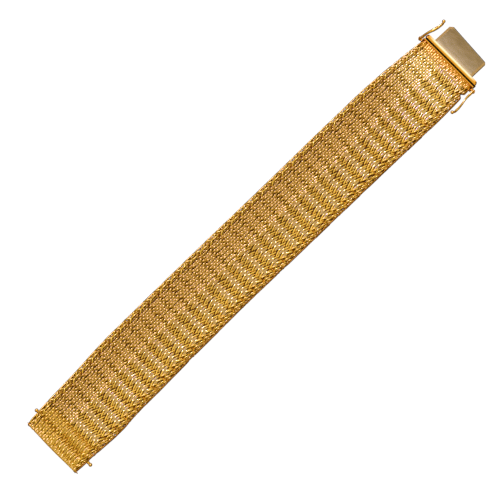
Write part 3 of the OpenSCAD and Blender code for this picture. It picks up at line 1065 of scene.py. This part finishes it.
# %% Tongue
side_view = [(x, LEAF_Z + LEAF_T / 2) for x in (CAP_FACE - LEAF_T + 0.1, TIP_X - 5)]
for i in range(11):
    angle = math.radians(-90 + (180 + LEAF_RISE) * i / 10)
    side_view.append((FOLD_X + FOLD_R * math.cos(angle), FOLD_Z + FOLD_R * math.sin(angle)))
for x in (TIP_X - 3, TIP_X - 6, BAR_X + 0.1):
    side_view.append((x, FOLD_Z + FOLD_R + (FOLD_X - x) * RISE))
tongue = from_points(
    [(x, -LEAF_HALF, z) for x, z in side_view], [(i, i + 1) for i in range(len(side_view) - 1)]
)
for step in (RAIL, 2 * (LEAF_HALF - RAIL), RAIL):
    far = max(v.co.y for v in tongue.data.vertices)
    pick(tongue, "EDGE", lambda edge: all(abs(v.co.y - far) < 0.001 for v in edge.verts))
    bpy.ops.mesh.extrude_region_move(TRANSFORM_OT_translate={"value": (0, step, 0)})
    deselect()
RAILS_ABOVE, RAIL_H = 2.0, 0.06
activate(tongue)
solidify = tongue.modifiers.new("sheet", "SOLIDIFY")
solidify.thickness = LEAF_T
solidify.offset = 0
solidify.use_even_offset = True
bpy.ops.object.modifier_apply(modifier=solidify.name)
pick(tongue, "FACE", lambda face: (
    face.normal.z > 0.9 and face.calc_center_median().z > RAILS_ABOVE
    and abs(face.calc_center_median().y) > LEAF_HALF - RAIL
))
bpy.ops.mesh.extrude_region_shrink_fatten(TRANSFORM_OT_shrink_fatten={"value": -RAIL_H})
deselect()
ASKEW = math.tan(math.radians(3.6))
for corner in tongue.data.vertices:
    if corner.co.x > TIP_X - 4:
        corner.co.x += ASKEW * corner.co.y
for side, corner_cut in ((1, 1.2), (-1, 0.6)):
    pick(tongue, "FACE", lambda face: True)
    bpy.ops.mesh.bisect(
        plane_co=(TIP_X + side * ASKEW * LEAF_HALF - corner_cut, side * LEAF_HALF, 0),
        plane_no=(1, side, 0), use_fill=True, clear_outer=True,
    )
    deselect()
face_outwards(tongue)
bevel(tongue, 0.05, 2)
finish_piece(at_clasp(tongue), "folded_tongue", PALE, "strap", ["tongue"])

# %% [markdown]
# A safety latch is one bent wire in a figure of eight: two arms spread to hold the hinge
# pin, squeeze together in the middle and open into the eye that snaps over a peg. The
# same sweep as in the weave draws it, only finer, with a lathe part for pin and ball.

# %% Safety latches
LATCH_WIRE = 0.55
LATCH_ARM = np.array([
    (0.0, 1.04), (0.8, 1.04), (1.8, 0.92), (2.8, 0.60), (3.8, 0.38),
    (4.6, 0.33), (5.4, 0.38), (6.2, 0.58), (7.0, 0.84),
])
LATCH_LEN, EYE_U, EYE_R = 9.6, 8.1, 0.97
WAIST_U, WAIST_HALF = 5.2, 2.6
PIN_R, KNOB_R, GRIP_R = 0.25, 0.38, 0.6
# The right latch lies this much further in, so that it stays inside the CAD box
RIGHT_IN = 0.03


def lean_in(u):
    """How far the latch bends towards the strap at a place along it."""
    v = np.clip((u - 2) / (LATCH_LEN - 4), 0, 1)
    return 0.75 * v * v * (3 - 2 * v)


def rounded(points, steps=4):
    """A smooth path through points: each stretch bends to meet its neighbours."""
    padded = np.concatenate([[2 * points[0] - points[1]], points, [2 * points[-1] - points[-2]]])
    path = []
    for a, b, c, d in zip(padded, padded[1:], padded[2:], padded[3:]):
        for t in np.arange(steps) / steps:
            path.append(0.5 * (
                2 * b + (c - a) * t + (2 * a - 5 * b + 4 * c - d) * t ** 2
                + (3 * b - a - 3 * c + d) * t ** 3
            ))
    return np.array(path + [points[-1]])


def latch(name, node, body, place, press):
    """The latch along X from its hinge, pressed flat in the middle, put in its place."""
    eye = np.radians(np.arange(110, -111, -20))
    u = np.concatenate([LATCH_ARM[:, 0], EYE_U + EYE_R * np.cos(eye), LATCH_ARM[::-1, 0]])
    h = np.concatenate([LATCH_ARM[:, 1], EYE_R * np.sin(eye), -LATCH_ARM[::-1, 1]])
    path = rounded(np.stack([u, -lean_in(u), MID_Z + h], -1))
    up = np.tile([0, 1, 0], (len(path), 1))
    flat = np.clip(1 - np.abs(path[:, 0] - WAIST_U) / WAIST_HALF, 0, 1)
    path = np.c_[path, up, np.ones(len(path)), 1 + press * flat]
    loop = wire_piece([(path, False)], LATCH_WIRE, np.radians(np.arange(15, 360, 30)))
    knob = LATCH_ARM[0, 1]
    pin = ball(KNOB_R, -knob, -90, 50) + [(PIN_R, -knob + 0.36), (PIN_R, knob - 0.36)]
    pin += ball(KNOB_R, knob, -50, 90)
    y = -lean_in(EYE_U)
    start = Vector((EYE_U + EYE_R, y, MID_Z))
    neck = Vector((LATCH_LEN, y + 0.45, MID_Z)) - start
    grip = [(0, -0.1), (0.3, -0.1), (0.3, 0.15)] + ball(GRIP_R, neck.length, -60, 90)
    piece = join([loop, turned(pin, (0, 0, MID_Z), sides=16), turned(grip, start, neck)])
    piece.data.transform(AT_CLASP @ place)
    face_outwards(piece)
    return finish_piece(piece, name, WIRE_GOLD, body, [node], smooth_angle=60)


left_place = Matrix.Translation((HINGE_X, HINGE_Y, 0)) @ Matrix.Rotation(math.radians(-5), 4, "Z")
right_place = Matrix.Translation((HINGE_X, RIGHT_IN - HINGE_Y, 0)) @ Matrix.Diagonal((-1, 1, 1, 1))
latch("left_latch", "latch_left", "left_safety", left_place, press=0.75)
latch("right_latch", "latch_right", "right_safety", right_place, press=0.1)

# %% [markdown]
# Soft studio light: a bright overhead softbox for the sparks on the wire, an even pale
# ceiling, and a small one whose mirror image lies in the slope of the thumb bar. The
# bracelet lies on a light table, whose own glow leaves no shadow. The table is hidden
# from reflections, because the gold should mirror the lamps alone.

# %% Floor, light and camera
TARGET = Vector((-4.56, 1.65, 0)) * MM
AZIMUTH, ELEVATION = math.radians(-44.79), math.radians(78.2)
DISTANCE = 0.9
VIEW_WIDTH = 158.3 * MM


def from_angles(azimuth, elevation):
    return Vector((
        math.sin(azimuth) * math.cos(elevation),
        -math.cos(azimuth) * math.cos(elevation),
        math.sin(elevation),
    ))


def softbox(name, aim, direction, distance, radius, radiance, colour):
    """A round lamp that faces a place, bright enough to look as radiant as asked."""
    deselect()
    bpy.ops.object.light_add(type="AREA")
    light = bpy.context.object
    light.name = name
    light.data.shape = "DISK"
    light.data.size = 2 * radius
    light.data.energy = radiance * math.pi * math.pi * radius ** 2
    light.data.color = colour
    direction = Vector(direction).normalized()
    light.location = aim + direction * distance
    light.rotation_mode = "QUATERNION"
    light.rotation_quaternion = direction.to_track_quat("Z", "Y")
    return light


def mirrored(aim, facing):
    """Where a surface at a place that faces a certain way sends the camera's view."""
    view = (TARGET + back * DISTANCE - aim).normalized()
    facing = Vector(facing).normalized()
    return 2 * facing.dot(view) * facing - view


deselect()
bpy.ops.mesh.primitive_plane_add(size=6, location=(0, 0, 0))
floor = bpy.context.object
floor.name = "floor"
back = from_angles(AZIMUTH, ELEVATION)
paper = Finish("white_paper")
floor.data.materials.append(paper.set(
    Base_Color=(0.05, 0.05, 0.05, 1), Roughness=0.9,
    Emission_Color=(1, 1, 1, 1), Emission_Strength=1.0,
))
floor.visible_glossy = False

STRAND_SLOPE = math.radians(13)
sparks = mirrored(TARGET, (0, math.sin(STRAND_SLOPE), math.cos(STRAND_SLOPE)))
softbox(
    "overhead", TARGET, sparks, distance=1.2, radius=0.25, radiance=9, colour=(0.78, 0.74, 2.8)
)
softbox(
    "ceiling", TARGET, (0, 0, 1), distance=1.25, radius=2.0, radiance=0.78,
    colour=(0.99, 0.93, 0.56),
)
bar_place = AT_CLASP @ Vector((BAR_END - 0.25, 0, 3)) * MM
glint = mirrored(bar_place, (math.sin(BAR_SLOPE), 0, math.cos(BAR_SLOPE)))
softbox(
    "bar_light", bar_place, glint, distance=1.1, radius=0.35, radiance=1.1, colour=(0.9, 1.0, 1.2)
)
world = bpy.data.worlds.new("studio")
bpy.context.scene.world = world
world.use_nodes = True
room = world.node_tree.nodes["Background"].inputs
room["Color"].default_value = (1, 0.68, 0.22, 1)
room["Strength"].default_value = 0.22

deselect()
bpy.ops.object.camera_add()
camera = bpy.context.object
camera.location = TARGET + back * DISTANCE
camera.rotation_mode = "QUATERNION"
camera.rotation_quaternion = back.to_track_quat("Z", "Y")
SENSOR = 36
camera.data.sensor_width = SENSOR
camera.data.lens = SENSOR * DISTANCE / VIEW_WIDTH
camera.data.clip_start = 0.01
bpy.context.scene.camera = camera
print("camera at", [round(v, 3) for v in camera.location], "lens", round(camera.data.lens, 1))
bpy.context.scene.view_settings.view_transform = "Standard"
bpy.context.scene.view_settings.look = "None"
bpy.context.scene.cycles.use_denoising = False

# %% [markdown]
# The last step prints the box that the CAD solids fill, in millimetres. The dressed
# bracelet should never reach past it.

# %% Print the CAD box
print("cad", [[round(v / MM, 2) for v in c] for c in cad_box])
